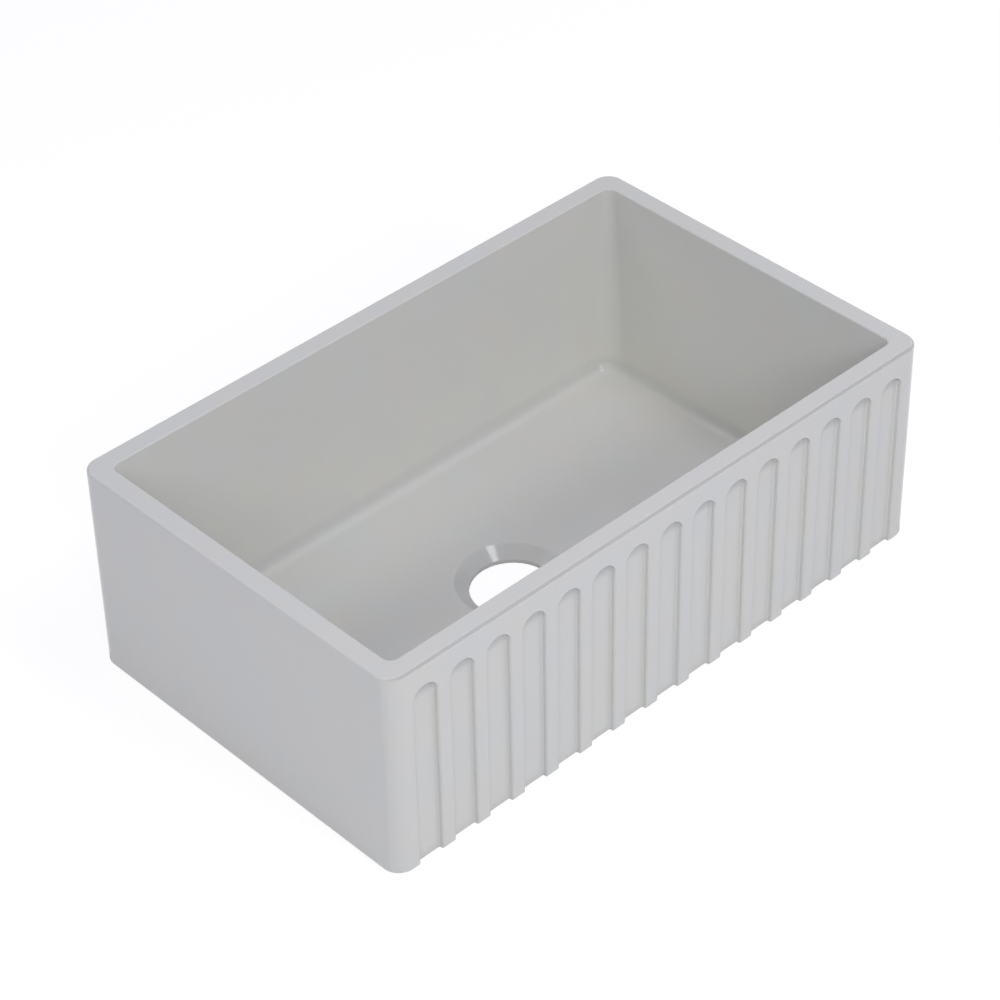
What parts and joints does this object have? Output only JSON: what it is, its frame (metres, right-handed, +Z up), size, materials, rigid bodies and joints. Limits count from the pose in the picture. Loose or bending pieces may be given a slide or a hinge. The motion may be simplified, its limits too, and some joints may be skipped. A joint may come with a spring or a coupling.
{
  "type": "farmhouse apron front sink",
  "caption": "Deep rectangular glazed fireclay kitchen sink with an arched fluted apron front, a flat rim and a central drain opening.",
  "frame": {"origin": "centre of the underside, on the plane that the sink stands on", "axes": "+X along the front, to the right as seen by someone at the sink, +Y from the apron to the back wall, +Z up out of the basin"},
  "size_m": [0.755, 0.46, 0.254],
  "materials": {
    "glazed_fireclay": "gloss white glaze"
  },
  "bodies": {
    "root": {"bowl": "glazed_fireclay", "fluted_apron": "glazed_fireclay"}
  },
  "joints": []
}
